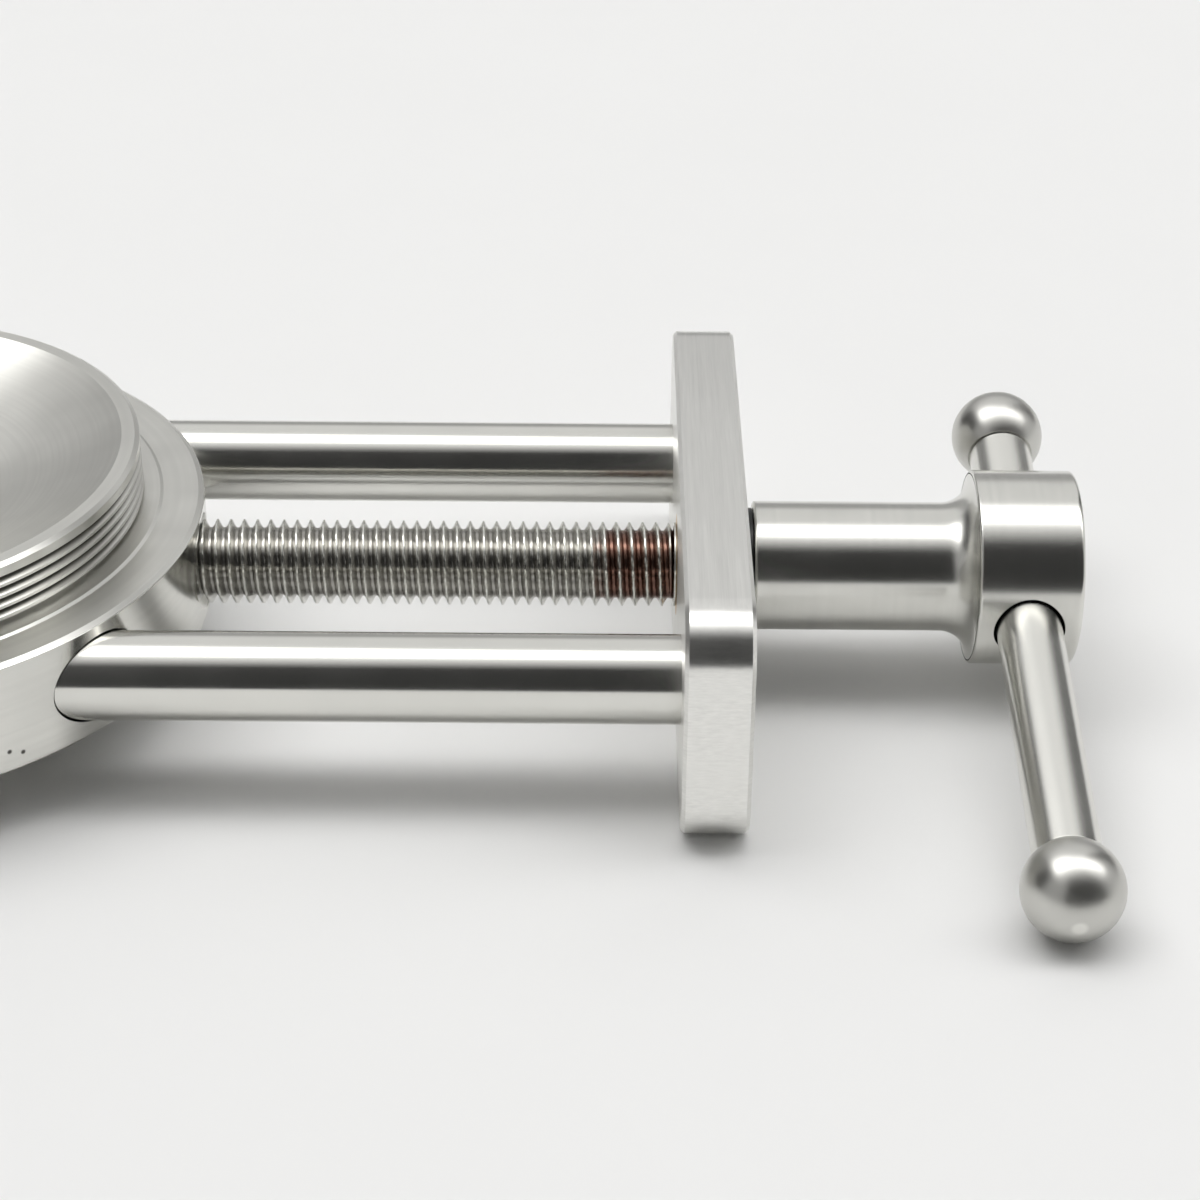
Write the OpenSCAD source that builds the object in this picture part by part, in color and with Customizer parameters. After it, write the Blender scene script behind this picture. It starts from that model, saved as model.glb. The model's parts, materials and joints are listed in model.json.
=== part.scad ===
// Lens repair vise: two half-disc jaws on guide rods, spread inside a filter ring by a lead screw.
// Millimetres. +X runs along the rods towards the handle, +Y to the rear, +Z up.
// The origin is the centre of the ring seat: on the jaw circle's axis, at the flange's top face.

/* [Guide rods] */
// Diameter of each guide rod
rod_d = 8; // [6:0.1:8.8]
// Distance between the axes of the two rods
rod_spacing = 40; // [34:0.5:44]
// Depth of the rod seats in the plates
rod_seat = 3; // [2:0.1:4]
// Chamfer on the rod ends
rod_chamfer = 0.3; // [0.1:0.05:0.6]

/* [Lead screw] */
// Crest diameter of the lead screw's thread
screw_d = 7.9; // [7:0.1:9]
// Pitch of the lead screw's thread
thread_pitch = 1.25; // [1:0.05:1.75]
// Depth of the lead screw's thread
thread_depth = 0.7; // [0.4:0.05:0.8]
// Shortest length of the plain collar between the thread and the end plate
collar_l = 0.5; // [0.3:0.1:2]
// Diameter of the plain journal that turns in the end plate and carries the hub
journal_d = 6.4; // [5:0.1:6.6]
// Diameter of the plain tip that turns in the fixed jaw
tip_d = 6; // [4.5:0.1:6.5]
// Length of the plain tip
tip_l = 10; // [6:0.5:14]
// How deep the journal goes into the hub
journal_grip = 15; // [12:0.5:17]

/* [Jaws] */
// Diameter of the flange under the ring
flange_d = 68; // [66:0.5:74]
// Thickness of the flange, which the rods and the screw run through
jaw_t = 10.8; // [10:0.1:14]
// Diameter of the grooved boss that grips the ring
boss_d = 56.8; // [50:0.2:62]
// Height of the boss above the flange
boss_h = 6; // [5.8:0.1:8]
// Width of the flat land on top of the boss, around the dish
rim_w = 1.65; // [1:0.05:3]
// Depth of the turned dish below the top of the boss
dish_depth = 6; // [3:0.1:6.4]
// Slit between the closed jaws
jaw_slit = 0.4; // [0.2:0.1:1]
// Travel of the moving jaw
jaw_travel = 44; // [20:1:70]
// Room left between the fully opened jaw and the end plate
stop_room = 0.4; // [0.3:0.1:2]
// Height of the bevel on the flange's upper edge, and the chamfer on its lower edge
flange_chamfer = 0.3; // [0.1:0.05:0.6]
// Width of the bevel on the flange's upper edge
flange_bevel = 0.55; // [0.2:0.05:0.8]
// Countersink where the screw leaves the moving jaw, past the screw's radius
jaw_sink = 0.7; // [0.3:0.1:1.2]

/* [Ring grooves] */
// Pitch of the grooves around the boss
groove_pitch = 1.05; // [0.7:0.05:1.1]
// Depth of the grooves
groove_depth = 0.65; // [0.2:0.05:0.7]
// Number of grooves
groove_count = 4; // [2:1:4]
// Width of the relief at the foot of the boss
relief_w = 0.8; // [0.5:0.05:0.9]
// Height of the bevel around the top of the boss
boss_chamfer = 0.3; // [0.1:0.05:0.35]
// Width of that bevel
boss_bevel = 0.45; // [0.1:0.05:0.8]
// Width of the low step on the flange around the boss
step_w = 1.5; // [0.8:0.1:2]
// Height of that step
step_h = 0.15; // [0.1:0.05:0.3]

/* [End plates] */
// Width of each plate, across the rods
plate_w = 61; // [56:0.5:70]
// Height of each plate, which lifts the vise off the table
plate_h = 23.2; // [20:0.1:28]
// Thickness of each plate
plate_t = 6; // [5.5:0.1:8]
// Corner radius of the plates
plate_corner = 5.2; // [3:0.1:7]
// Space between the fixed jaw and the tail plate
tail_gap = 4; // [1:0.5:10]

/* [Handle hub] */
// Diameter of the hub's barrel
barrel_d = 12.1; // [11.5:0.1:14]
// Length of the barrel, up to the fillet
barrel_l = 17.7; // [17.5:0.1:24]
// Diameter of the hub's head
head_d = 18.2; // [16:0.1:22]
// Length of the head along the screw
head_l = 9.6; // [8.6:0.1:14]
// Edge chamfer of the head and barrel
head_chamfer = 0.35; // [0.1:0.05:0.6]
// Thickness of the thrust washer
washer_t = 1; // [0.6:0.1:2]
// Outer diameter of the thrust washer
washer_d = 10.8; // [10.2:0.1:12]

/* [Tommy bar] */
// Diameter of the tommy bar
bar_d = 6; // [4.8:0.1:6.6]
// Distance between the centres of the two balls
bar_span = 61.5; // [50:0.5:90]
// How far the bar is pushed through towards the front at rest
bar_shift = 10.6; // [0:0.1:11]
// Diameter of the balls
ball_d = 8.9; // [8:0.1:11]
// Diameter of the small turned flat on each ball's outer end
ball_flat_d = 1.6; // [0.8:0.1:2.4]
// Diameter of the spigots that hold the balls
spigot_d = 4; // [3:0.1:4.2]
// Length of the spigots
spigot_l = 4.5; // [3:0.1:5]

/* [Fasteners] */
// Diameter of the countersunk screws that hold the rods in the plates
plate_screw_d = 4; // [3:0.1:4.5]
// Length of those screws
plate_screw_l = 12; // [8:0.5:16]
// Head diameter of those screws
plate_screw_head_d = 7.6; // [6:0.1:7.8]
// Diameter of the dowel pins that hold the fixed jaw on the rods
pin_d = 3; // [2:0.1:3.5]
// Length of the dowel pins
pin_l = 7; // [5.5:0.1:8]
// Diameter of the set screw that locks the hub on the screw
set_screw_d = 4; // [3:0.1:5]
// Key size of the hexagon sockets
key_size = 2; // [1.5:0.1:2.5]
// Depth of the hexagon sockets
key_depth = 1.2; // [0.8:0.1:1.4]
// Wall of the bronze bushes
bush_wall = 1.5; // [1:0.1:1.6]
// Length of the bush that holds the screw's tip
tip_bush_l = 12; // [8:0.5:16]

/* [Fits] */
// Radial clearance of the moving jaw on the rods
slide_clear = 0.08; // [0.03:0.01:0.1]
// Radial clearance of the turning screw
turn_clear = 0.05; // [0.02:0.01:0.1]
// Radial clearance of the tommy bar in the head
bar_clear = 0.1; // [0.04:0.01:0.1]
// Axial clearance on each side of the turning pieces
thrust_clear = 0.05; // [0.02:0.01:0.15]
// Clearance of pressed and screwed pieces
seat_clear = 0.02; // [0.01:0.01:0.04]
// Height of the front ball above the table
ball_lift = 0.1; // [0.05:0.05:1]
// How far the pins and the set screw sit below the surface
sink = 0.2; // [0.1:0.05:0.5]
// Room past the ends of screws, pins and spigots in their blind holes
blind_room = 0.5; // [0.2:0.1:0.8]

/* [Hidden] */
$fn = 96;
cut = 1;
steel = [0.78, 0.78, 0.76];
bright_steel = [0.84, 0.84, 0.83];
dark_steel = [0.25, 0.25, 0.25];
bronze = [0.72, 0.52, 0.28];

flange_r = flange_d / 2;
boss_r = boss_d / 2;
rod_r = rod_d / 2;
screw_r = screw_d / 2;
journal_r = journal_d / 2;
tip_r = tip_d / 2;
bar_r = bar_d / 2;
ball_r = ball_d / 2;
rod_y = rod_spacing / 2;
axis_z = -jaw_t / 2;

// Places along X, from the tail plate to the handle
tail_x = -flange_r - tail_gap;
end_x = flange_r + jaw_travel + stop_room;
washer_x = end_x + plate_t + thrust_clear;
hub_x = washer_x + washer_t + thrust_clear;
fillet_r = (head_d - barrel_d) / 2 - head_chamfer;
head_x = hub_x + barrel_l + fillet_r;
bar_x = head_x + head_l / 2;
thread_x = jaw_slit / 2;
thread_end = end_x - thrust_clear;
journal_end = hub_x + journal_grip;
set_screw_x = hub_x + journal_grip / 2;
pin_x = -sqrt(pow((flange_r + boss_r) / 2, 2) - pow(rod_y, 2));
pin_top = -jaw_t + sink + pin_l;

// The front ball lies just above the table, so its height sets the bar's tilt
front_y = bar_span / 2 + bar_shift;
rear_y = bar_span / 2 - bar_shift;
bar_tilt = asin((plate_h / 2 - ball_r - ball_lift) / front_y);
ball_seat = sqrt(pow(ball_r, 2) - pow(bar_r, 2));

// Shares of one pitch: the flat between two ring grooves, and the thread's root and flank
crest_share = 0.25;
root_share = 0.25;
flank_share = 0.3;

// Outlines, as [radius, distance along the axis]
function crest(z, flat) = [[boss_r, z - flat / 2], [boss_r, z + flat / 2]];
crest_flat = crest_share * groove_pitch;
relief_z = (step_h + relief_w - crest_flat / 2) / 2;
groove_outline = [
    for (i = [0 : groove_count])
        each concat(
            crest(relief_w + i * groove_pitch, crest_flat),
            i < groove_count ? [[boss_r - groove_depth, relief_w + (i + 0.5) * groove_pitch]] : []
        )
];
jaw_outline = concat(
    [
        [0, -jaw_t],
        [flange_r - flange_chamfer, -jaw_t],
        [flange_r, -jaw_t + flange_chamfer],
        [flange_r, -flange_chamfer],
        [flange_r - flange_bevel, 0],
        [boss_r + step_w, 0],
        [boss_r + step_w - step_h, step_h],
        [boss_r - groove_depth, step_h],
        [boss_r - groove_depth, relief_z]
    ],
    groove_outline,
    [
        [boss_r, boss_h - boss_chamfer],
        [boss_r - boss_bevel, boss_h],
        [0, boss_h]
    ]
);
thread_turns = floor((thread_end - thread_x - collar_l) / thread_pitch);
collar_x = thread_x + thread_turns * thread_pitch;
thread_outline = [
    for (i = [0 : thread_turns - 1])
        each [
            [screw_r - thread_depth, thread_x + i * thread_pitch],
            [screw_r - thread_depth, thread_x + (i + root_share) * thread_pitch],
            [screw_r, thread_x + (i + root_share + flank_share) * thread_pitch],
            [screw_r, thread_x + (i + 1 - flank_share) * thread_pitch]
        ]
];
tip_x = thread_x - tip_l;
screw_outline = concat(
    [
        [0, tip_x],
        [tip_r - rod_chamfer, tip_x],
        [tip_r, tip_x + rod_chamfer],
        [tip_r, thread_x]
    ],
    thread_outline,
    [
        [screw_r - thread_depth, collar_x],
        [screw_r, collar_x + collar_l / 2],
        [screw_r, thread_end],
        [journal_r, thread_end],
        [journal_r, journal_end],
        [0, journal_end]
    ]
);

// Turns a solid that stands on Z so that it lies along +X on the screw's axis
module on_axis(y = 0) {
    translate([0, y, axis_z])
        rotate([0, 90, 0])
            children();
}

// Places children in the tommy bar's own frame: -Y runs down the bar to the front ball
module on_bar() {
    translate([bar_x, 0, axis_z])
        rotate([bar_tilt, 0, 0])
            children();
}

// A straight round piece or hole along X, from one x to another
module along_x(x0, x1, r, y = 0) {
    on_axis(y)
        translate([0, 0, x0])
            cylinder(h = x1 - x0, r = r);
}

// A straight round piece or hole along the tommy bar, from one distance to another
module along_bar(y0, y1, r) {
    on_bar()
        translate([0, y0, 0])
            rotate([-90, 0, 0])
                cylinder(h = y1 - y0, r = r);
}

module hexagon_socket(depth) {
    cylinder(h = depth, d = key_size / cos(30), $fn = 6);
}

// Half of the turned disc, on the +X side of the slit
module half_disc() {
    dish_r = boss_r - rim_w;
    sphere_r = (pow(dish_r, 2) + pow(dish_depth, 2)) / (2 * dish_depth);
    difference() {
        rotate_extrude()
            polygon(jaw_outline);
        translate([0, 0, boss_h - dish_depth + sphere_r])
            sphere(r = sphere_r, $fn = 200);
        translate([jaw_slit / 2 - flange_r - cut, -flange_r - cut, -jaw_t - cut])
            cube([flange_r + cut, flange_d + 2 * cut, jaw_t + boss_h + 2 * cut]);
    }
}

// A plate that stands on its lower edge, square to the rods, from x to x + plate_t
module plate_blank(x) {
    inner_y = plate_w / 2 - plate_corner;
    inner_z = plate_h / 2 - plate_corner;
    on_axis()
        translate([0, 0, x])
            linear_extrude(plate_t)
                union() {
                    square([plate_h, 2 * inner_y], center = true);
                    square([2 * inner_z, plate_w], center = true);
                    for (sz = [-1, 1], sy = [-1, 1])
                        translate([sz * inner_z, sy * inner_y])
                            circle(r = plate_corner);
                }
}

// Outline of a countersunk screw whose head lies at the origin and whose point lies along +Z
module countersunk(length, grow) {
    head_r = plate_screw_head_d / 2;
    shank_r = plate_screw_d / 2;
    cylinder(h = head_r - shank_r, r1 = head_r + grow, r2 = shank_r + grow);
    cylinder(h = length, r = shank_r + grow);
}

module plate_screw() {
    difference() {
        countersunk(plate_screw_l, 0);
        translate([0, 0, -cut])
            hexagon_socket(key_depth + cut);
    }
}

// Puts a screw, or its hole, into the outer face of the end plate
module at_end_plate(y) {
    on_axis(y)
        translate([0, 0, end_x + plate_t])
            rotate([180, 0, 0])
                children();
}

// Puts a screw, or its hole, into the outer face of the tail plate
module at_tail_plate(y) {
    on_axis(y)
        translate([0, 0, tail_x - plate_t])
            children();
}

module pin_hole(y) {
    translate([pin_x, y, -jaw_t - cut])
        cylinder(h = pin_top + blind_room + jaw_t + cut, d = pin_d + 2 * seat_clear);
}

module jaw_pin(y) {
    color(steel)
        translate([pin_x, y, -jaw_t + sink])
            cylinder(h = pin_l, d = pin_d);
}

module guide_rod(y) {
    start = tail_x - rod_seat;
    end = end_x + rod_seat;
    color(bright_steel)
        difference() {
            on_axis(y)
                rotate_extrude()
                    polygon([
                        [0, start],
                        [rod_r - rod_chamfer, start],
                        [rod_r, start + rod_chamfer],
                        [rod_r, end - rod_chamfer],
                        [rod_r - rod_chamfer, end],
                        [0, end]
                    ]);
            at_end_plate(y)
                cylinder(h = plate_screw_l + blind_room, d = plate_screw_d + 2 * seat_clear);
            at_tail_plate(y)
                cylinder(h = plate_screw_l + blind_room, d = plate_screw_d + 2 * seat_clear);
            pin_hole(y);
        }
}

module ball(side, y) {
    inner = y - side * ball_seat;
    pole = y + side * sqrt(pow(ball_r, 2) - pow(ball_flat_d / 2, 2));
    bore_end = inner + side * (spigot_l + blind_room);
    color(bright_steel)
        difference() {
            on_bar()
                translate([0, y, 0])
                    rotate([90, 0, 0])
                        sphere(r = ball_r);
            along_bar(min(inner, inner - side * ball_r), max(inner, inner - side * ball_r), ball_r);
            along_bar(min(pole, pole + side * cut), max(pole, pole + side * cut), ball_r);
            along_bar(min(inner - side * cut, bore_end), max(inner - side * cut, bore_end),
                spigot_d / 2 + seat_clear);
        }
}

module end_plate() {
    color(steel)
        difference() {
            plate_blank(end_x);
            along_x(end_x - cut, end_x + plate_t + cut, journal_r + turn_clear + bush_wall + seat_clear);
            for (y = [-rod_y, rod_y]) {
                along_x(end_x - cut, end_x + rod_seat, rod_r + seat_clear, y);
                at_end_plate(y)
                    countersunk(plate_t, seat_clear);
            }
        }
}

module tail_plate() {
    color(steel)
        difference() {
            plate_blank(tail_x - plate_t);
            for (y = [-rod_y, rod_y]) {
                along_x(tail_x - rod_seat, tail_x + cut, rod_r + seat_clear, y);
                at_tail_plate(y)
                    countersunk(plate_t, seat_clear);
            }
        }
}

module guide_rod_front() { guide_rod(-rod_y); }
module guide_rod_rear() { guide_rod(rod_y); }
module end_screw_front() { color(steel) at_end_plate(-rod_y) plate_screw(); }
module end_screw_rear() { color(steel) at_end_plate(rod_y) plate_screw(); }
module tail_screw_front() { color(steel) at_tail_plate(-rod_y) plate_screw(); }
module tail_screw_rear() { color(steel) at_tail_plate(rod_y) plate_screw(); }
module jaw_pin_front() { jaw_pin(-rod_y); }
module jaw_pin_rear() { jaw_pin(rod_y); }

module fixed_jaw() {
    color(steel)
        difference() {
            mirror([1, 0, 0])
                half_disc();
            for (y = [-rod_y, rod_y]) {
                along_x(-flange_r - cut, cut, rod_r + seat_clear, y);
                pin_hole(y);
            }
            along_x(-jaw_slit / 2 - tip_bush_l, cut, tip_r + turn_clear + bush_wall + seat_clear);
        }
}

module moving_jaw() {
    bore_r = screw_r + turn_clear;
    color(steel)
        difference() {
            half_disc();
            for (y = [-rod_y, rod_y])
                along_x(-cut, flange_r + cut, rod_r + slide_clear, y);
            along_x(-cut, flange_r + cut, bore_r);
            on_axis()
                translate([0, 0, flange_r - jaw_sink])
                    cylinder(h = 2 * jaw_sink, r1 = bore_r, r2 = bore_r + 2 * jaw_sink);
        }
}

module lead_screw() {
    flat_z = -journal_r + sink;
    color(steel)
        difference() {
            on_axis()
                rotate_extrude()
                    polygon(screw_outline);
            translate([set_screw_x - set_screw_d, -journal_r, axis_z + flat_z - cut])
                cube([2 * set_screw_d, journal_d, cut]);
        }
}

module screw_bush() {
    color(bronze)
        difference() {
            along_x(end_x, end_x + plate_t, journal_r + turn_clear + bush_wall);
            along_x(end_x - cut, end_x + plate_t + cut, journal_r + turn_clear);
        }
}

module tip_bush() {
    start = -jaw_slit / 2 - tip_bush_l + seat_clear;
    end = -jaw_slit / 2;
    color(bronze)
        difference() {
            along_x(start, end, tip_r + turn_clear + bush_wall);
            along_x(start - cut, end + cut, tip_r + turn_clear);
        }
}

module thrust_washer() {
    color(dark_steel)
        difference() {
            along_x(washer_x, washer_x + washer_t, washer_d / 2);
            along_x(washer_x - cut, washer_x + washer_t + cut, journal_r + turn_clear);
        }
}

module handle_hub() {
    barrel_r = barrel_d / 2;
    head_r = head_d / 2;
    fillet_x = hub_x + barrel_l;
    head_end = head_x + head_l;
    color(steel)
        difference() {
            on_axis()
                rotate_extrude()
                    difference() {
                        polygon([
                            [0, hub_x],
                            [barrel_r - head_chamfer, hub_x],
                            [barrel_r, hub_x + head_chamfer],
                            [barrel_r, fillet_x],
                            [barrel_r + fillet_r, fillet_x],
                            [barrel_r + fillet_r, head_x],
                            [head_r, head_x + head_chamfer],
                            [head_r, head_end - head_chamfer],
                            [head_r - head_chamfer, head_end],
                            [0, head_end]
                        ]);
                        translate([barrel_r + fillet_r, fillet_x])
                            circle(r = fillet_r);
                    }
            along_x(hub_x - cut, journal_end + blind_room, journal_r + seat_clear);
            along_bar(-head_d, head_d, bar_r + bar_clear);
            translate([set_screw_x, 0, axis_z - barrel_d])
                cylinder(h = barrel_d, d = set_screw_d + 2 * seat_clear);
        }
}

module hub_set_screw() {
    bottom = axis_z - barrel_d / 2 + sink;
    top = axis_z - journal_r + sink - seat_clear;
    color(dark_steel)
        translate([set_screw_x, 0, bottom])
            difference() {
                cylinder(h = top - bottom, d = set_screw_d);
                translate([0, 0, -cut])
                    hexagon_socket(key_depth + cut);
            }
}

module tommy_bar() {
    front = -front_y + ball_seat;
    rear = rear_y - ball_seat;
    color(bright_steel)
        union() {
            along_bar(front, rear, bar_r);
            along_bar(front - spigot_l, rear + spigot_l, spigot_d / 2);
        }
}

module ball_front() { ball(-1, -front_y); }
module ball_rear() { ball(1, rear_y); }

end_plate();
tail_plate();
guide_rod_front();
guide_rod_rear();
end_screw_front();
end_screw_rear();
tail_screw_front();
tail_screw_rear();
fixed_jaw();
jaw_pin_front();
jaw_pin_rear();
moving_jaw();
lead_screw();
screw_bush();
tip_bush();
thrust_washer();
handle_hub();
hub_set_screw();
tommy_bar();
ball_front();
ball_rear();
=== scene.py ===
# %% [markdown]
# # A lens repair vise in turned stainless steel
# Two half discs ride on a pair of guide rods. A lead screw with a sliding tommy bar pulls them apart
# inside a lens's filter ring and presses a dent out of it. The construction is already there as a packed
# frame of exact solids, so this lesson adds what a solid lacks: soft edges, a real helix, and steel that
# shows how it was cut. We load the frame first. The finished model may not outgrow it.

# %% Load the frame
import json
import math

import bmesh
import bpy
import numpy as np
from mathutils import Matrix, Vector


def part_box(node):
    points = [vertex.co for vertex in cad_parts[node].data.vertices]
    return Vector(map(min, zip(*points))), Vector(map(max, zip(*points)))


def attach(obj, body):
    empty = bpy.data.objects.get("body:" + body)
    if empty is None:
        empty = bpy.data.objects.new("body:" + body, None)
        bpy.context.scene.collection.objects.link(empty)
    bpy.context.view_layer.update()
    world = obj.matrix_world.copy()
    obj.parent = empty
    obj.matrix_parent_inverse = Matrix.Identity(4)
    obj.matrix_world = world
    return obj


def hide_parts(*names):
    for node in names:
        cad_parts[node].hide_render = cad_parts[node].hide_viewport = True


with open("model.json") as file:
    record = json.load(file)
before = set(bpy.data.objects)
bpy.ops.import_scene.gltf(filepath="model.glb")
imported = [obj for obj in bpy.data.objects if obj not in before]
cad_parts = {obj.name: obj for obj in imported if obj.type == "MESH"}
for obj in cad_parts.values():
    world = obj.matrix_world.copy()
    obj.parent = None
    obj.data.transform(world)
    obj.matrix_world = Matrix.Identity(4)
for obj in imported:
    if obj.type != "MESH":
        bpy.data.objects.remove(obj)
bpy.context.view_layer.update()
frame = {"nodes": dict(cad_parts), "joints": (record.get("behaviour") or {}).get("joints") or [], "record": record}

# %% [markdown]
# ## Sizes
# A part is easier to dress when its sizes come from the frame itself: if the frame changes, the looks
# follow. Each node's box gives most of them. The few that a box hides, such as the depth of a thread, are
# named below in millimetres where they are first needed.

# %% Read the main sizes from the frame
MM = 0.001
X, Y, Z = 0, 1, 2


def span(node):
    """Lowest and highest corner of a node, as two arrays in metres."""
    low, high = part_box(node)
    return np.array(low), np.array(high)


def half_size(node, axis):
    """Half a node's size along one axis, which is the radius of a round piece."""
    low, high = span(node)
    return (high[axis] - low[axis]) / 2


def middle(node, axis):
    """The middle of a node's box along one axis."""
    low, high = span(node)
    return (high[axis] + low[axis]) / 2


rod_low, rod_high = span("guide_rod_front")
rod_r = half_size("guide_rod_front", Z)
rod_y = -middle("guide_rod_front", Y)
axis_z = middle("guide_rod_front", Z)
plate_low, plate_high = span("end_plate")
jaw_low, jaw_high = span("moving_jaw")
table_z = plate_low[Z]
flange_r = jaw_high[X]
half_slit = jaw_low[X]
boss_r = frame["record"]["mounts"][0]["dims"]["r_mm"] * MM
print(f"rods {2 * rod_r / MM:.1f} mm at +-{rod_y / MM:.1f} mm, flange radius {flange_r / MM:.1f} mm")

# %% [markdown]
# ## Camera
# The camera was fitted to the edges of the disc, the rods, the plate and the balls. It looks almost
# straight across the rods, a third of a right angle down, and leans by less than half a degree. A camera
# looks along its own -Z axis, so its matrix is built from the direction to the right, the one up and the
# one backwards.

# %% Set the camera
camera_place = np.array([71.2408, -224.2554, 126.4019]) * MM
look_down = math.radians(31.1955)
lean = math.radians(-0.4459)
turn = math.radians(0.0029)
lens_mm = 82.757
sensor_mm = 36.0
nearest = 10 * MM

forward = np.array([
    math.sin(turn) * math.cos(look_down),
    math.cos(turn) * math.cos(look_down),
    -math.sin(look_down),
])
level_right = np.array([math.cos(turn), -math.sin(turn), 0.0])
level_up = np.cross(level_right, forward)
camera_right = math.cos(lean) * level_right - math.sin(lean) * level_up
camera_up = math.sin(lean) * level_right + math.cos(lean) * level_up

camera = bpy.data.objects.new("camera", bpy.data.cameras.new("camera"))
bpy.context.scene.collection.objects.link(camera)
camera.data.sensor_width = sensor_mm
camera.data.lens = lens_mm
camera.data.clip_start = nearest
pose = Matrix.Identity(4)
for column, axis in enumerate((camera_right, camera_up, -forward, camera_place)):
    pose.col[column][:3] = axis
camera.matrix_world = pose
bpy.context.scene.camera = camera
bpy.context.scene.view_settings.view_transform = "Standard"
print("camera at", np.round(camera_place, 4))

# %% [markdown]
# ## Surfaces from grids
# Nearly every piece here comes off a lathe, so one recipe makes most of them: draw half a section, soften
# its corners, and swing it round an axis. The soft corners matter more than anything else on polished
# steel: a perfectly sharp edge catches no light and gives a model away. A rational quadratic curve gives
# an exact arc at each corner, and a helper point just outside it keeps the flat beside it flat when it is
# smooth shaded.

# %% Draw a section with soft corners
GUARD_SHARE = 0.5
GUARD_MOST = 0.1 * MM


def soft_outline(corners, steps=7):
    """An open outline whose inner corners are circular arcs.

    corners has rows (first, second, arc radius). For a corner P between unit directions a and b, the arc
    starts at P + t*a and ends at P + t*b with t = radius / tan(half the angle between a and b). It is the
    rational quadratic curve through them, with P as its middle point and the sine of that half angle as
    its weight.
    """
    corners = np.asarray(corners, float)
    place, radius = corners[1:-1, :2], corners[1:-1, 2]
    before = corners[:-2, :2] - place
    after = corners[2:, :2] - place
    before /= np.linalg.norm(before, axis=1, keepdims=True)
    after /= np.linalg.norm(after, axis=1, keepdims=True)
    half = np.arccos(np.clip((before * after).sum(1), -1, 1)) / 2
    reach = (radius / np.tan(half))[:, None]
    start, end = place + reach * before, place + reach * after
    s = np.linspace(0, 1, steps)[None, :, None]
    first, last = (1 - s) ** 2, s ** 2
    second = 2 * s * (1 - s) * np.sin(half)[:, None, None]
    arcs = first * start[:, None] + second * place[:, None] + last * end[:, None]
    arcs /= first + second + last
    guard = reach + np.minimum(GUARD_SHARE * reach, GUARD_MOST)
    parts = [(place + guard * before)[:, None], arcs, (place + guard * after)[:, None]]
    inner = np.concatenate(parts, 1).reshape(-1, 2)
    return np.vstack([corners[:1, :2], inner, corners[-1:, :2]])


# %% Swing a section round an axis
def swing(section, origin, axis, columns=128):
    """A surface of turning, as a grid of points.

    Each row of the section is (distance along the axis, distance from it). A point of the grid is
    origin + along * axis + away * (cos(a) * side + sin(a) * other), for evenly spaced angles a.
    """
    axis = np.asarray(axis, float) / np.linalg.norm(axis)
    nearly_upright = abs(axis[Z]) > 0.9
    helper = np.array([1.0, 0.0, 0.0]) if nearly_upright else np.array([0.0, 0.0, 1.0])
    side = np.cross(helper, axis)
    side /= np.linalg.norm(side)
    other = np.cross(axis, side)
    angle = np.linspace(0, 2 * np.pi, columns, endpoint=False)
    spoke = np.cos(angle)[:, None] * side + np.sin(angle)[:, None] * other
    section = np.asarray(section, float)
    return origin + section[:, :1, None] * axis + section[:, 1:, None] * spoke[None]


# %% [markdown]
# ## Closing and drilling
# A grid of points is still open: its last column has to meet its first, and where the section touches the
# axis a whole row lies on one point. Merging the double points closes the poles. Holes could be modelled
# into each section, but a cross hole has no place in it, so they are drilled with an exact boolean, as
# the real ones are.

# %% Turn a grid of points into a closed mesh
SOFT_ANGLE = math.radians(28)
DOUBLE_POINT = 1e-7
NO_LENGTH = 1e-8


def close_up(piece):
    """Merges double points, points every face outwards, and shades smoothly up to SOFT_ANGLE."""
    work = bmesh.new()
    work.from_mesh(piece.data)
    bmesh.ops.remove_doubles(work, verts=work.verts, dist=DOUBLE_POINT)
    bmesh.ops.dissolve_degenerate(work, edges=work.edges, dist=NO_LENGTH)
    bmesh.ops.recalc_face_normals(work, faces=work.faces)
    work.to_mesh(piece.data)
    work.free()
    piece.data.shade_smooth()
    piece.data.set_sharp_from_angle(angle=SOFT_ANGLE)
    return piece


def skin(name, grid, round_columns=True, round_rows=False, extra_faces=()):
    """A mesh object from a grid of points, one quad between each four neighbours."""
    rows, columns = grid.shape[:2]
    index = np.arange(rows * columns).reshape(rows, columns)
    if round_columns:
        index = np.concatenate([index, index[:, :1]], 1)
    if round_rows:
        index = np.concatenate([index, index[:1]], 0)
    around = [index[:-1, :-1], index[1:, :-1], index[1:, 1:], index[:-1, 1:]]
    quads = np.stack(around, -1).reshape(-1, 4)
    mesh = bpy.data.meshes.new(name)
    mesh.from_pydata(grid.reshape(-1, 3), [], quads.tolist() + [list(face) for face in extra_faces])
    piece = bpy.data.objects.new(name, mesh)
    bpy.context.scene.collection.objects.link(piece)
    return close_up(piece)


# %% Drill holes
def drill(piece, cutters):
    """Takes the cutters' shapes out of a piece, as a drill does, and deletes the cutters."""
    for cutter in cutters:
        cut = piece.modifiers.new("hole", "BOOLEAN")
        cut.operation = "DIFFERENCE"
        cut.solver = "EXACT"
        cut.object = cutter
    view = bpy.context.evaluated_depsgraph_get()
    drilled = bpy.data.meshes.new_from_object(piece.evaluated_get(view))
    piece.modifiers.clear()
    piece.data = drilled
    for cutter in cutters:
        bpy.data.objects.remove(cutter)
    return close_up(piece)


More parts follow.
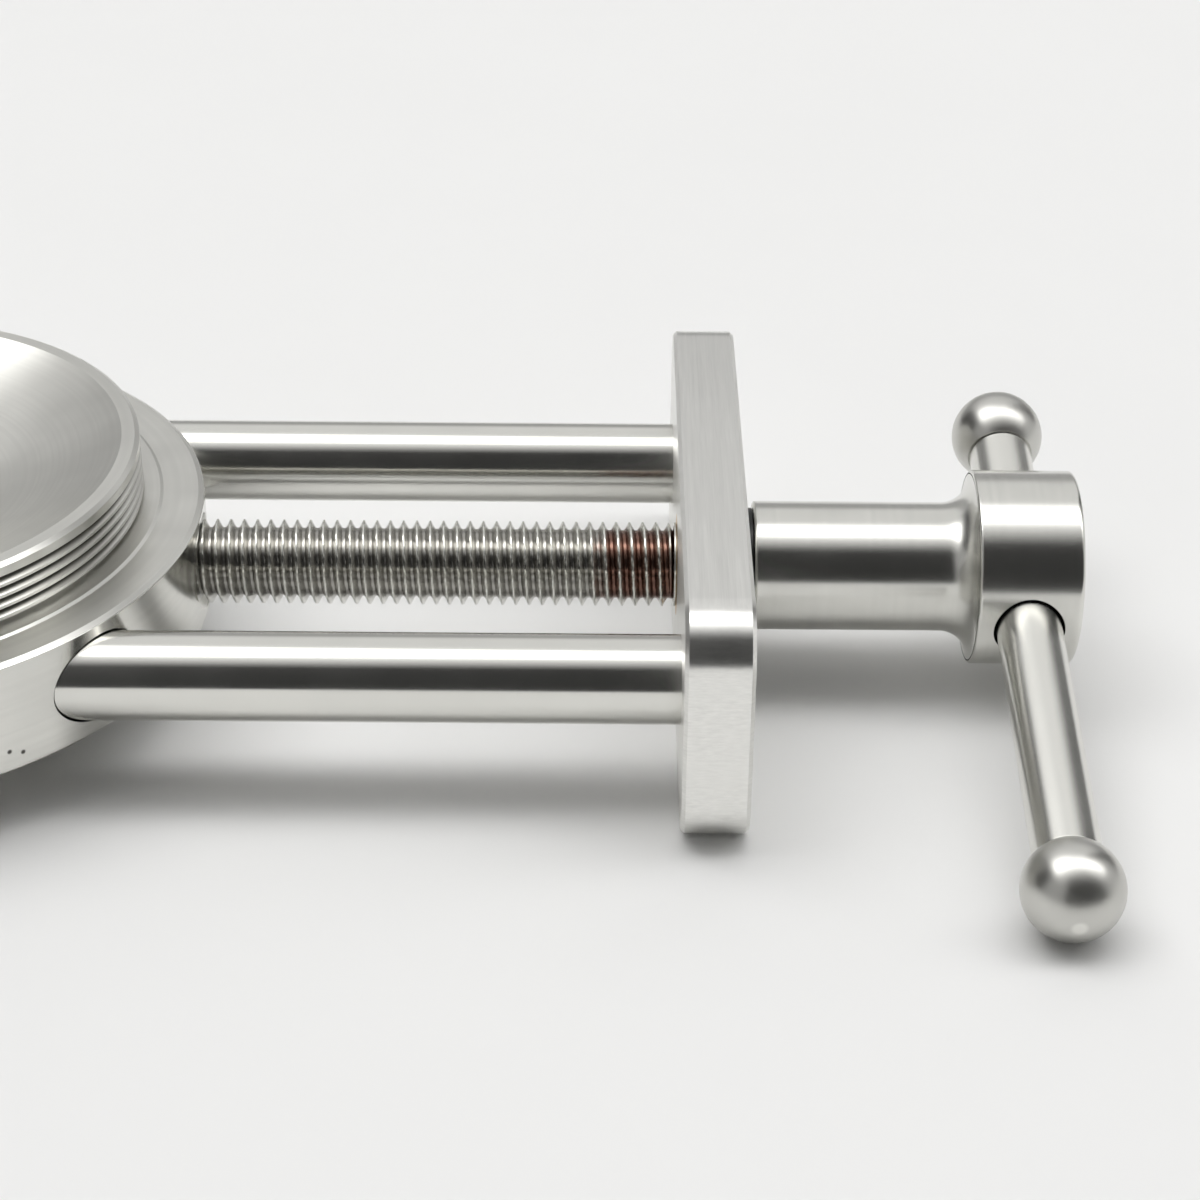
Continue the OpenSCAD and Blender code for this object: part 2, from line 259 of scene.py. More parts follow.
def drill_along(start, end, radius, end_radius=None, columns=96):
    """A cutter: a plain or tapered round bar from one point to another."""
    start, end = np.asarray(start, float), np.asarray(end, float)
    length = np.linalg.norm(end - start)
    last = radius if end_radius is None else end_radius
    section = [[0, 0], [0, radius], [length, last], [length, 0]]
    return skin("cutter", swing(section, start, end - start, columns))


def on_axis(x, y=0.0):
    """A point at the height of the screw's axis: on it, or beside it by y."""
    return np.array([x, y, axis_z])


def rod_bores(first_x, last_x, clear):
    """Cutters for both rods, front rod first, from one place along them to another."""
    return [
        drill_along(on_axis(first_x, side * rod_y), on_axis(last_x, side * rod_y), rod_r + clear)
        for side in (-1, 1)
    ]


# %% Put a piece in place of its solid
def adopt(piece, body, slot, *nodes):
    """Rides a finished piece on a body in place of its solids, and prints its size."""
    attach(piece, body)
    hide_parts(*nodes)
    triangles = sum(len(face.vertices) - 2 for face in piece.data.polygons)
    print(f"{piece.name}: {triangles} triangles on {body}")
    return piece


# %% [markdown]
# ## The jaws
# Each jaw is half of one turned disc: a flange, a boss with ring grooves that bite into the ring's
# thread, and a dished top that leaves room for a domed lens. The section is the lathe's: the dish is part
# of a large sphere, and the rest is straight cuts. To stop exactly at the flat sawn face, each circle of
# the grid sweeps only the angle at which its own radius stays past the saw cut, and one big face closes
# the cut.

# %% Draw the dish and the ring grooves
boss_h = jaw_high[Z]
jaw_bottom = jaw_low[Z]
groove_pitch = 1.05 * MM
groove_depth = 0.65 * MM
groove_count = 4
relief_w = 0.8 * MM
land_w = 1.65 * MM
dish_r = boss_r - land_w
dish_depth = boss_h
dish_points = 36
dish_stop = 0.25 * MM
crest_half = groove_pitch / 8
crest_soft = 0.04 * MM

sphere_r = (dish_r ** 2 + dish_depth ** 2) / (2 * dish_depth)
bowl_r = np.linspace(half_slit, dish_r - dish_stop, dish_points)
bowl_z = boss_h - dish_depth + sphere_r - np.sqrt(sphere_r ** 2 - bowl_r ** 2)
bowl = np.column_stack([bowl_r, bowl_z])

groove_z = relief_w + groove_pitch * np.arange(groove_count, -1, -1)
groove_root = boss_r - groove_depth
crests = np.column_stack([np.full(2 * groove_count + 2, boss_r), np.repeat(groove_z, 2)])
crests[0::2, 1] += crest_half
crests[1::2, 1] -= crest_half
roots = np.column_stack([np.full(groove_count, groove_root), groove_z[:-1] - groove_pitch / 2])
teeth = np.insert(crests, np.arange(2, 2 * groove_count + 1, 2), roots, axis=0)
teeth = np.column_stack([teeth, np.full(len(teeth), crest_soft)])
print("dish sphere", round(sphere_r / MM, 1), "mm,", groove_count, "grooves")

# %% Join them into the jaw's section
step_r = boss_r + 1.5 * MM
step_h = 0.15 * MM
edge_soft = 0.3 * MM
fine_soft = 0.06 * MM
boss_bevel = np.array([0.45, 0.3]) * MM
flange_bevel = np.array([0.55, 0.3]) * MM

corners = np.vstack([
    [[*bowl[-1], 0], [dish_r, boss_h, fine_soft]],
    [[boss_r - boss_bevel[0], boss_h, fine_soft], [boss_r, boss_h - boss_bevel[1], fine_soft]],
    teeth,
    [
        [groove_root, relief_w / 2, fine_soft],
        [groove_root, step_h, fine_soft],
        [step_r, step_h, fine_soft],
        [step_r + 2 * step_h, 0, fine_soft],
        [flange_r - flange_bevel[0], 0, fine_soft],
        [flange_r, -flange_bevel[1], fine_soft],
        [flange_r, jaw_bottom, edge_soft],
        [half_slit, jaw_bottom, 0],
    ],
])
jaw_section = np.vstack([bowl[:-1], soft_outline(corners, steps=5)])
print("jaw section:", len(jaw_section), "points")


# %% Sweep the half disc and close its sawn face
def half_disc(name, side, columns=241):
    """Half of the turned disc, on one side of the saw cut.

    A point of the grid is (r * cos(a), r * sin(a), z), where (r, z) is a point of the section and a runs
    evenly between minus and plus the angle whose cosine is half the slit over r. side is 1 or -1, and -1
    mirrors it in X.
    """
    r, z = jaw_section[:, :1], jaw_section[:, 1:]
    reach = np.arccos(np.clip(half_slit / r, -1, 1))
    angle = reach * np.linspace(-1, 1, columns)[None]
    grid = np.stack([side * r * np.cos(angle), r * np.sin(angle), np.broadcast_to(z, angle.shape)], -1)
    rows = np.arange(len(jaw_section)) * columns
    sawn = np.concatenate([rows, rows[-2:0:-1] + columns - 1])
    return skin(name, grid, round_columns=False, extra_faces=[sawn])


# %% Bore the moving jaw for the rods and the screw
past = 2 * MM
slide_clear = 0.16 * MM
turn_clear = 0.05 * MM
screw_r = 3.95 * MM
screw_bore_r = screw_r + turn_clear
countersink = 0.7 * MM

moving_jaw = half_disc("moving_jaw_turned", 1)
cutters = rod_bores(-past, flange_r + past, slide_clear)
cutters.append(drill_along(on_axis(-past), on_axis(flange_r + past), screw_bore_r))
sink_start, sink_end = on_axis(flange_r - countersink), on_axis(flange_r + countersink)
cutters.append(drill_along(sink_start, sink_end, screw_bore_r, screw_bore_r + 2 * countersink))
drill(moving_jaw, cutters)
adopt(moving_jaw, "jaw", "jaw_steel", "moving_jaw")

# %% Bore the fixed jaw for the rods, the tip bush and the pins
seat_clear = 0.02 * MM
bush_r = half_size("tip_bush", Z)
bush_end_x = span("tip_bush")[0][X] - seat_clear
pin_r = half_size("jaw_pin_front", X)
pin_x = middle("jaw_pin_front", X)

fixed_jaw = half_disc("fixed_jaw_turned", -1)
cutters = rod_bores(-flange_r - past, past, seat_clear)
cutters.append(drill_along(on_axis(bush_end_x), on_axis(past), bush_r + seat_clear))
cutters += [
    drill_along([pin_x, y, jaw_bottom - past], on_axis(pin_x, y), pin_r + seat_clear)
    for y in (-rod_y, rod_y)
]
drill(fixed_jaw, cutters)
adopt(fixed_jaw, "frame", "jaw_steel", "fixed_jaw")

# %% [markdown]
# ## The guide rods
# The rods are ground bars with a small chamfer, held by a screw in each end. A plain cylinder would do
# from afar, but the tapped ends and the cross holes for the dowel pins are real, so they are drilled as
# well.

# %% Turn both rods and drill them
screw_end_x = span("end_screw_front")[0][X]
tail_end_x = span("tail_screw_front")[1][X]
pin_top = span("jaw_pin_front")[1][Z]
thread_hole_r = 2.02 * MM
hole_room = 0.5 * MM


def guide_rod(name, side, node):
    """A ground bar with soft ends, drilled for its two screws and, from below, for the dowel pin."""
    y = side * rod_y
    section = soft_outline([
        [rod_low[X], 0, 0],
        [rod_low[X], rod_r, edge_soft],
        [rod_high[X], rod_r, edge_soft],
        [rod_high[X], 0, 0],
    ])
    rod = skin(name, swing(section, on_axis(0, y), [1, 0, 0], 160))
    cutters = [
        drill_along(on_axis(screw_end_x - hole_room, y), on_axis(rod_high[X] + past, y), thread_hole_r),
        drill_along(on_axis(tail_end_x + hole_room, y), on_axis(rod_low[X] - past, y), thread_hole_r),
        drill_along([pin_x, y, jaw_bottom], [pin_x, y, pin_top + hole_room], pin_r + seat_clear),
    ]
    drill(rod, cutters)
    return adopt(rod, "frame", "rod_steel", node)


rods = [
    guide_rod("guide_rod_front_ground", -1, "guide_rod_front"),
    guide_rod("guide_rod_rear_ground", 1, "guide_rod_rear"),
]

# %% [markdown]
# ## The end plates
# Both plates are flat bars with rounded corners, and they stand on their lower long edge. The outline
# runs once round the plate, and a short section across its thickness carries the small chamfer that shows
# as a bright line along every edge. The faces close at a point in the middle, which lies in the same flat
# plane.

# %% Carry the chamfered section round the plate's outline
plate_corner = 5.2 * MM
plate_chamfer = 0.35 * MM


def plate_ring(inset):
    """The plate's outline, drawn in by inset: a rectangle whose corners are arcs about fixed centres."""
    half_w = half_size("end_plate", Y) - inset
    half_h = half_size("end_plate", Z) - inset
    round_r = plate_corner - inset
    corners = [
        [0, half_h, 0], [half_w, half_h, round_r], [half_w, -half_h, round_r],
        [-half_w, -half_h, round_r], [-half_w, half_h, round_r], [0, half_h, 0],
    ]
    return soft_outline(corners, steps=25)[:-1]


def plate(name, low_x, high_x):
    """A plate whose rows are its outline at a list of depths and insets, closed at each face's centre."""
    depth = [low_x, low_x, low_x + plate_chamfer, high_x - plate_chamfer, high_x, high_x]
    rings = [plate_ring(inset) for inset in (plate_chamfer, 0.0)]
    shapes = [0 * rings[0], rings[0], rings[1], rings[1], rings[0], 0 * rings[0]]
    grid = np.stack([np.column_stack([np.full(len(ring), x), ring]) for x, ring in zip(depth, shapes)])
    grid[..., Z] += axis_z
    return skin(name, grid)


# %% Drill the plates for the rods, the bush and the countersunk screws
sink_r = half_size("end_screw_front", Z) + seat_clear
sink_over = 1 * MM
sink_point_r = 0.01 * MM
hole_l = 10 * MM
journal_bush_r = half_size("screw_bush", Z)
tail_low, tail_high = span("tail_plate")


def countersunk_holes(face, inward):
    """Cutters for both rods' screws: a 90 degree cone at the face, and a clearance hole behind it."""
    step = np.array([inward, 0, 0])
    cutters = []
    for y in (-rod_y, rod_y):
        point = on_axis(face, y)
        start, end = point - step * sink_over, point + step * sink_r
        cutters.append(drill_along(start, end, sink_r + sink_over, sink_point_r))
        cutters.append(drill_along(point, point + step * hole_l, thread_hole_r))
    return cutters


end_plate = plate("end_plate_milled", plate_low[X], plate_high[X])
cutters = rod_bores(plate_low[X] - past, rod_high[X], seat_clear)
bush_start, bush_end = on_axis(plate_low[X] - past), on_axis(plate_high[X] + past)
cutters.append(drill_along(bush_start, bush_end, journal_bush_r + seat_clear))
cutters += countersunk_holes(plate_high[X], -1)
drill(end_plate, cutters)
adopt(end_plate, "frame", "plate_steel", "end_plate")

tail_plate = plate("tail_plate_milled", tail_low[X], tail_high[X])
cutters = rod_bores(rod_low[X], tail_high[X] + past, seat_clear)
cutters += countersunk_holes(tail_low[X], 1)
drill(tail_plate, cutters)
adopt(tail_plate, "frame", "plate_steel", "tail_plate")

# %% [markdown]
# ## The lead screw
# The solids carry ring grooves where the real screw has a helix, because rings turn into exact surfaces.
# Here the helix is made: one grid covers the whole screw, and the radius at each point depends on how far
# along the pitch it lies once its angle is taken off. The crest is narrow and the root wide and round, as
# on a rolled thread, and the thread runs out smoothly at both ends.

# %% Shape the thread
thread_pitch = 1.25 * MM
thread_depth = 0.76 * MM
crest_end = 0.12
root_start = 0.82
root_power = 1.3


def thread_height(along, angle):
    """How far the thread stands above its root, from 0 to 1, at a distance along the axis and an angle.

    The phase is along / pitch minus angle / full turn. Its distance from the nearest crest, as a share of
    half a pitch, gives a straight flank from crest_end to root_start, and a power above 1 rounds its foot.
    """
    phase = along / thread_pitch - angle / (2 * np.pi)
    from_crest = 2 * np.abs(phase - np.round(phase))
    return np.clip((root_start - from_crest) / (root_start - crest_end), 0, 1) ** root_power


# %% Wind the thread between its tip and its journal
tip_r = 3.0 * MM
journal_r = 3.2 * MM
tip_soft = 0.3 * MM
run_out = 0.4 * MM
thrust_clear = 0.05 * MM
collar_l = 0.3 * MM
collar_rise = 0.3 * collar_l
collar_soft = 0.05 * MM
shoulder_soft = 0.02 * MM
spindle_low, spindle_high = span("lead_screw")
thread_start = half_slit
thread_end = plate_low[X] - thrust_clear
thread_root = screw_r - thread_depth


def lead_screw_grid(columns=72, per_pitch=18):
    """The screw as one grid: plain tip, thread with its run-outs, collar and journal, closed on the axis.

    A point is (along, away * cos(a), away * sin(a)), where away is the root's radius plus the thread's
    height on the threaded length, and the radius of a soft outline on the rest.
    """
    turns = (thread_end - collar_l - thread_start) / thread_pitch
    along = np.linspace(thread_start, thread_end - collar_l, int(turns * per_pitch))
    angle = np.linspace(0, 2 * np.pi, columns, endpoint=False)
    height = thread_height(along[:, None], angle[None])
    ends = np.clip(np.minimum(along - along[0], along[-1] - along) / run_out, 0, 1)[:, None]
    away = thread_root + thread_depth * height * ends
    tip = soft_outline([
        [spindle_low[X], 0, 0],
        [spindle_low[X], tip_r, tip_soft],
        [thread_start, tip_r, 0],
    ])
    journal = soft_outline([
        [thread_end - collar_l, thread_root, 0],
        [thread_end - collar_l + collar_rise, screw_r, collar_soft],
        [thread_end, screw_r, collar_soft],
        [thread_end, journal_r, shoulder_soft],
        [spindle_high[X], journal_r, tip_soft],
        [spindle_high[X], 0, 0],
    ])
    plain = [np.repeat(part[:, 1:], columns, 1) for part in (tip, journal)]
    every_along = np.concatenate([tip[:, 0], along, journal[1:, 0]])
    every_away = np.vstack([plain[0], away, plain[1][1:]])
    x = np.repeat(every_along[:, None], columns, 1)
    return np.stack([x, every_away * np.cos(angle), axis_z + every_away * np.sin(angle)], -1)


lead_screw = skin("lead_screw_threaded", lead_screw_grid())
adopt(lead_screw, "spindle", "thread_steel", "lead_screw")

# %% [markdown]
# ## The hub, its washer and the tommy bar
# The hub is one turned piece: a barrel, a concave fillet and a head with a cross hole for the bar. The
# bar slides in that hole between its two balls. All of them use the section recipe, each about its own
# axis: the screw's for the hub and washer, and the bar's own tilted axis, which the frame gives as the
# axis of the sliding joint.

# %% Turn the hub and drill it
hub_low, hub_high = span("handle_hub")
head_r = half_size("handle_hub", Z)
head_l = 9.6 * MM
head_x = hub_high[X] - head_l
barrel_r = 6.05 * MM
fillet_r = 2.7 * MM
head_soft = 0.3 * MM
end_soft = 0.45 * MM
bar_r = 3.0 * MM
bar_clear = 0.26 * MM
bar_hole_r = bar_r + bar_clear
bar_joint = next(joint for joint in frame["joints"] if joint["name"] == "bar_slide")
bar_axis = np.array(bar_joint["axis"], float)
bar_middle = on_axis((head_x + hub_high[X]) / 2)
set_screw_x = middle("hub_set_screw", X)
set_screw_r = half_size("hub_set_screw", X)

section = soft_outline([
    [hub_low[X], 0, 0],
    [hub_low[X], barrel_r, head_soft],
    [head_x, barrel_r, fillet_r],
    [head_x, head_r, head_soft],
    [hub_high[X], head_r, end_soft],
    [hub_high[X], 0, 0],
], steps=13)
hub = skin("handle_hub_turned", swing(section, on_axis(0), [1, 0, 0], 192))
reach = 2 * head_r
journal_start, journal_end = on_axis(hub_low[X] - past), on_axis(spindle_high[X] + hole_room)
cutters = [
    drill_along(journal_start, journal_end, journal_r + seat_clear),
    drill_along(bar_middle - reach * bar_axis, bar_middle + reach * bar_axis, bar_hole_r, columns=128),
    drill_along([set_screw_x, 0, axis_z - reach], on_axis(set_screw_x), set_screw_r + seat_clear),
]
drill(hub, cutters)
adopt(hub, "spindle", "hub_steel", "handle_hub")

# %% Make the washer
washer_low, washer_high = span("thrust_washer")
washer_r = half_size("thrust_washer", Z)
washer_hole_r = journal_r + turn_clear
washer_soft = 0.08 * MM
section = soft_outline([
    [washer_low[X], washer_hole_r, 0],
    [washer_low[X], washer_r, washer_soft],
    [washer_high[X], washer_r, washer_soft],
    [washer_high[X], washer_hole_r, 0],
])
washer = skin("thrust_washer_black", swing(section, on_axis(0), [1, 0, 0]), round_rows=True)
adopt(washer, "spindle", "washer_steel", "thrust_washer")

# %% Turn the bar
bar_span = 61.5 * MM
bar_shift = 10.6 * MM
front_reach = bar_span / 2 + bar_shift
rear_reach = bar_span / 2 - bar_shift
ball_r = half_size("ball_front", X)
ball_seat = math.sqrt(ball_r ** 2 - bar_r ** 2)
spigot_r = 2.0 * MM
spigot_l = 4.5 * MM

front_shoulder = front_reach - ball_seat
rear_shoulder = ball_seat - rear_reach
section = soft_outline([
    [rear_shoulder - spigot_l, 0, 0],
    [rear_shoulder - spigot_l, spigot_r, fine_soft],
    [rear_shoulder, spigot_r, shoulder_soft],
    [rear_shoulder, bar_r, fine_soft],
    [front_shoulder, bar_r, fine_soft],
    [front_shoulder, spigot_r, shoulder_soft],
    [front_shoulder + spigot_l, spigot_r, fine_soft],
    [front_shoulder + spigot_l, 0, 0],
])
tommy_bar = skin("tommy_bar_polished", swing(section, bar_middle, bar_axis, 128))
adopt(tommy_bar, "handle", "bar_steel", "tommy_bar")

# %% Turn its balls
flat_r = 0.8 * MM
joint_line = 0.14 * MM
ball_points = 48


def ball(name, reach, direction, node):
    """A ball on the bar's end, open for its spigot, with a narrow joint line and a small flat on its pole.

    Its section runs from the bottom of the bore out along the seat, then round the sphere from the angle
    of the joint line to the angle of the flat, and back to the axis.
    """
    first = math.pi - math.asin((bar_r + joint_line) / ball_r)
    last = math.asin(flat_r / ball_r)
    angle = np.linspace(first, last, ball_points)
    round_part = np.column_stack([ball_r * np.cos(angle), ball_r * np.sin(angle)])
    bore_end = spigot_l + hole_room - ball_seat
    bore_r = spigot_r + seat_clear
    start = np.array([[bore_end, 0], [bore_end, bore_r], [round_part[0, 0], bore_r]])
    section = np.vstack([start, round_part, [[round_part[-1, 0], 0]]])
    centre = bar_middle + direction * reach * bar_axis
    piece = skin(name, swing(section, centre, direction * bar_axis, 96))
    return adopt(piece, "handle", "ball_steel", node)


balls = [
    ball("ball_front_polished", front_reach, 1, "ball_front"),
    ball("ball_rear_polished", rear_reach, -1, "ball_rear"),
]

# %% [markdown]
# ## Finishes
# Bare steel has almost no colour of its own: it looks like what stands around it, smeared by the marks of
# the tool that cut it. Turning leaves fine rings round the axis, and rings smear a reflection across
# themselves, so each turned finish needs to know its axis. From the point's place we take its distance
# along and away from that axis for the marks, and the direction round the axis for the smear.


# %% Node helpers
def add(tree, kind, inputs, **options):
    """Adds one node, sets its options, and fills each input with a value or another node's output."""
    node = tree.nodes.new("ShaderNode" + kind)
    for option, value in options.items():
        setattr(node, option, value)
    for key, value in inputs.items():
        if isinstance(value, bpy.types.NodeSocket):
            tree.links.new(value, node.inputs[key])
        else:
            node.inputs[key].default_value = value
    return node.outputs


def vector_math(tree, operation, first, second=(0, 0, 0)):
    """A vector operation's outputs, Vector and Value."""
    return add(tree, "VectorMath", {0: first, 1: second}, operation=operation)


def number_math(tree, operation, first, second=0.0):
    """A number operation's output."""
    return add(tree, "Math", {0: first, 1: second}, operation=operation)[0]


def product(tree, *values):
    """Several numbers multiplied."""
    result = values[0]
    for value in values[1:]:
        result = number_math(tree, "MULTIPLY", result, value)
    return result


def stretch(tree, value, low, high, from_low=0.0, from_high=1.0):
    """Maps a number from one range to another."""
    inputs = {"Value": value, "From Min": from_low, "From Max": from_high, "To Min": low, "To Max": high}
    return add(tree, "MapRange", inputs)["Result"]


def ease(tree, value, start, end):
    """A smooth step: 0 at start and 1 at end, which may be the smaller of the two."""
    inputs = {"Value": value, "From Min": start, "From Max": end}
    return add(tree, "MapRange", inputs, interpolation_type="SMOOTHSTEP")["Result"]


def mix_number(tree, share, first, second):
    """A blend of two numbers."""
    return add(tree, "Mix", {0: share, 2: first, 3: second}, data_type="FLOAT")[0]


def mix_colour(tree, share, first, second):
    """A blend of two colours."""
    return add(tree, "Mix", {0: share, 6: first, 7: second}, data_type="RGBA")[2]


# %% Noise helpers
NOISE_LOW, NOISE_HIGH = 0.3, 0.7


def noise(tree, size, detail=3.0, roughness=0.55, **inputs):
    """A noise value whose features are about size metres across."""
    dimensions = "1D" if "W" in inputs else "3D"
    settings = {"Scale": 1 / size, "Detail": detail, "Roughness": roughness, **inputs}
    return add(tree, "TexNoise", settings, noise_dimensions=dimensions)[0]


def full_range(tree, value):
    """Spreads a noise, whose values mostly lie between NOISE_LOW and NOISE_HIGH, over 0 to 1."""
    return stretch(tree, value, 0.0, 1.0, NOISE_LOW, NOISE_HIGH)


# %% [markdown]
# ## Steel that a tool has cut
# A clean metal shader looks like a computer's idea of steel. Real steel has three things on top: the
# marks of the tool, a fine grain, and smudges a few millimetres across that dull it. The roughness
# follows the smudges by a few percent. The renderer's noise filter takes steel smoother than about 0.27
# for a mirror and rougher steel for a matt surface, and draws thin lines where one finish crosses that
# value, so each finish stays on one side of it.

# %% Lay marks over a metal shader
STEEL = (0.755, 0.75, 0.712)
GRAIN_SIZE = 0.2 * MM
GRAIN_SHARE = 0.05
SMUDGE_SIZE = 5 * MM
SMUDGE_SHARE = 0.6
ROUGH_SPREAD = 0.07


def steel_base(name, colour, roughness, anisotropy):
    """A metal material, its node tree, its shader and the point's place on the piece."""
    material = bpy.data.materials.new(name)
    material.use_nodes = True
    tree = material.node_tree
    shader = tree.nodes["Principled BSDF"]
    shader.inputs["Base Color"].default_value = (*colour, 1)
    shader.inputs["Metallic"].default_value = 1.0
    shader.inputs["Roughness"].default_value = roughness
    shader.inputs["Anisotropic"].default_value = anisotropy
    place = add(tree, "TexCoord", {})["Object"]
    return material, tree, shader, place


def worked_steel(tree, shader, place, marks, depth, colour, roughness, smudge, streak=0.0):
    """Lays tool marks, a little grain and soft smudges over a metal shader.

    The marks make the bump, depth metres high, and shade the colour by the streak. A cloud a few
    millimetres across shades the colour by the smudge and spreads the roughness.
    """
    grain = noise(tree, GRAIN_SIZE, detail=1.0, Vector=place)
    cloud = full_range(tree, noise(tree, SMUDGE_SIZE, detail=1.0, Vector=place))
    dark = tuple((1 - streak) * c for c in colour)
    dull = tuple((1 - smudge) * c for c in colour)
    streaked = mix_colour(tree, full_range(tree, marks), (*dark, 1), (*colour, 1))
    smudged = mix_colour(tree, product(tree, cloud, SMUDGE_SHARE), streaked, (*dull, 1))
    tree.links.new(smudged, shader.inputs["Base Color"])
    rough = stretch(tree, cloud, (1 - ROUGH_SPREAD) * roughness, (1 + ROUGH_SPREAD) * roughness)
    tree.links.new(rough, shader.inputs["Roughness"])
    height = number_math(tree, "ADD", marks, product(tree, grain, GRAIN_SHARE))
    bump = add(tree, "Bump", {"Strength": 1.0, "Distance": depth, "Height": height})
    tree.links.new(bump["Normal"], shader.inputs["Normal"])


# %% Tint, polish and smear a finish
QUARTER_TURN = 0.25


def tint(tree, shader, share, colour):
    """Mixes another colour over the steel by a share from 0 to 1."""
    under = shader.inputs["Base Color"].links[0].from_socket
    tree.links.new(mix_colour(tree, share, under, (*colour, 1)), shader.inputs["Base Color"])


def polish(tree, shader, share, roughness):
    """Brings the roughness to another value by a share from 0 to 1."""
    under = shader.inputs["Roughness"].links[0].from_socket
    tree.links.new(mix_number(tree, share, under, roughness), shader.inputs["Roughness"])


def lie_along(tree, shader, direction):
    """Smears reflections across a direction, given in the piece's own space."""
    options = {"vector_type": "VECTOR", "convert_from": "OBJECT", "convert_to": "WORLD"}
    turned = add(tree, "VectorTransform", {0: direction}, **options)[0]
    shader.inputs["Anisotropic Rotation"].default_value = QUARTER_TURN
    tree.links.new(turned, shader.inputs["Tangent"])


# %% Turn steel about any axis
def about_axis(tree, place, centre, axis):
    """Distance along an axis, distance from it, and the direction round it, at each point."""
    axis = tuple(np.asarray(axis, float) / np.linalg.norm(axis))
    offset = vector_math(tree, "SUBTRACT", place, tuple(centre))["Vector"]
    along = vector_math(tree, "DOT_PRODUCT", offset, axis)["Value"]
    shadow = add(tree, "VectorMath", {0: axis, "Scale": along}, operation="SCALE")["Vector"]
    spoke = vector_math(tree, "SUBTRACT", offset, shadow)["Vector"]
    away = vector_math(tree, "LENGTH", spoke)["Value"]
    around = vector_math(tree, "CROSS_PRODUCT", axis, spoke)["Vector"]
    return along, away, around


def turned_steel(
    name, line, roughness, anisotropy, depth, mark=0.8 * MM, colour=STEEL, smudge=0.07, streak=0.0,
):
    """Steel with fine rings about a line, given as a point and a direction: mark is the rings' width."""
    material, tree, shader, place = steel_base(name, colour, roughness, anisotropy)
    along, away, around = about_axis(tree, place, *line)
    lie_along(tree, shader, around)
    travel = number_math(tree, "ADD", along, away)
    rings = noise(tree, mark, detail=1.0, W=travel)
    worked_steel(tree, shader, place, rings, depth, colour, roughness, smudge, streak)
    return material, tree, shader, (along, away, place)


def dress(material, *pieces):
    """Gives each piece one material all over, and prints their names."""
    for piece in pieces:
        piece.data.materials.clear()
        piece.data.materials.append(material)
    print(f"{material.name}:", ", ".join(piece.name for piece in pieces))


# %% [markdown]
# ## Finish of the jaws
# The disc is turned stainless steel with rings all over, a brighter line where its rim was broken, and
# painted shade down in the ring grooves: a darker colour where little light gets in. A groove is just
# where the surface lies nearer the axis than the boss's crests, so two distances give the shade's share.
# Two tiny dark pits sit in the flange's edge.

# %% Dress the jaws
disc_line = ((0, 0, 0), (0, 0, 1))
rim_start, rim_end = flange_r - 0.1 * MM, flange_r - 0.02 * MM
rim_roughness = 0.17
GROOVE_SHADE = (0.1, 0.096, 0.085)
groove_share = 0.9
PIT_DARK = (0.08, 0.075, 0.07)
pits = [(-53.3, -8.7), (-51.2, -9.2)]
pit_r = 0.3 * MM
pit_core = 0.4 * pit_r

jaw_steel, tree, shader, (along, away, place) = turned_steel(
    "jaw_steel_turned", disc_line, roughness=0.3, anisotropy=0.7, depth=0.0003 * MM,
    mark=0.6 * MM, smudge=0.14, streak=0.05,
)
polish(tree, shader, ease(tree, away, rim_start, rim_end), rim_roughness)
# Painted shade: the ring grooves get a darker colour, standing in for the shade deep in them.
in_groove = product(
    tree,
    ease(tree, away, boss_r - 0.05 * MM, groove_root + 0.15 * MM),
    ease(tree, away, dish_r, dish_r + 0.5 * MM),
    ease(tree, along, 0.3 * MM, 0.6 * MM),
    ease(tree, along, boss_h - 0.3 * MM, boss_h - 0.7 * MM),
)
tint(tree, shader, product(tree, in_groove, groove_share), GROOVE_SHADE)
for degrees, height in pits:
    heading = math.radians(degrees)
    pit = (flange_r * math.cos(heading), flange_r * math.sin(heading), height * MM)
    off = vector_math(tree, "DISTANCE", place, pit)["Value"]
    tint(tree, shader, ease(tree, off, pit_r, pit_core), PIT_DARK)
dress(jaw_steel, moving_jaw, fixed_jaw)

# %% [markdown]
# ## Finish of the rods and the hub
# The rods are ground, which is finer than turning, so they mirror more clearly. Each has an axis of its
# own and therefore a material of its own. The hub is turned, and the mouth of its cross hole gets a thin
# ring of painted shadow, the shade in the bar's clearance, which a second axis, the bar's, finds.

# %% Dress the rods and the hub
screw_line = ((0, 0, axis_z), (1, 0, 0))
bar_line = (bar_middle, bar_axis)
HOLE_SHADOW = (0.04, 0.04, 0.035)
shadow_w = 0.05 * MM

for rod, side, end in zip(rods, (-1, 1), ("front", "rear")):
    rod_line = ((0, side * rod_y, axis_z), (1, 0, 0))
    rod_name = f"rod_steel_ground_{end}"
    dress(turned_steel(rod_name, rod_line, 0.2, 0.75, depth=0.0004 * MM, smudge=0.05)[0], rod)

hub_steel, tree, shader, (along, away, place) = turned_steel(
    "hub_steel_turned", screw_line, 0.24, 0.65, depth=0.0003 * MM, smudge=0.12, streak=0.04,
)
from_bar = about_axis(tree, place, *bar_line)[1]
# Painted shadow: a thin dark ring round the mouth of the bar's hole, for the shade in its clearance.
tint(tree, shader, ease(tree, from_bar, bar_hole_r + shadow_w, bar_hole_r), HOLE_SHADOW)
dress(hub_steel, hub)

# %% [markdown]
# ## Finish of the bar and the balls
# The bar is polished by the sliding and shows long soft marks. The balls are satin and a little duller,
# apart from the small flat on the end of each, which was faced off and gets a painted sheen, a paler colour.

# %% Dress the bar and the balls
DULL_STEEL = (0.6, 0.595, 0.565)
flat_outside, flat_inside = flat_r + 0.1 * MM, flat_r - 0.4 * MM

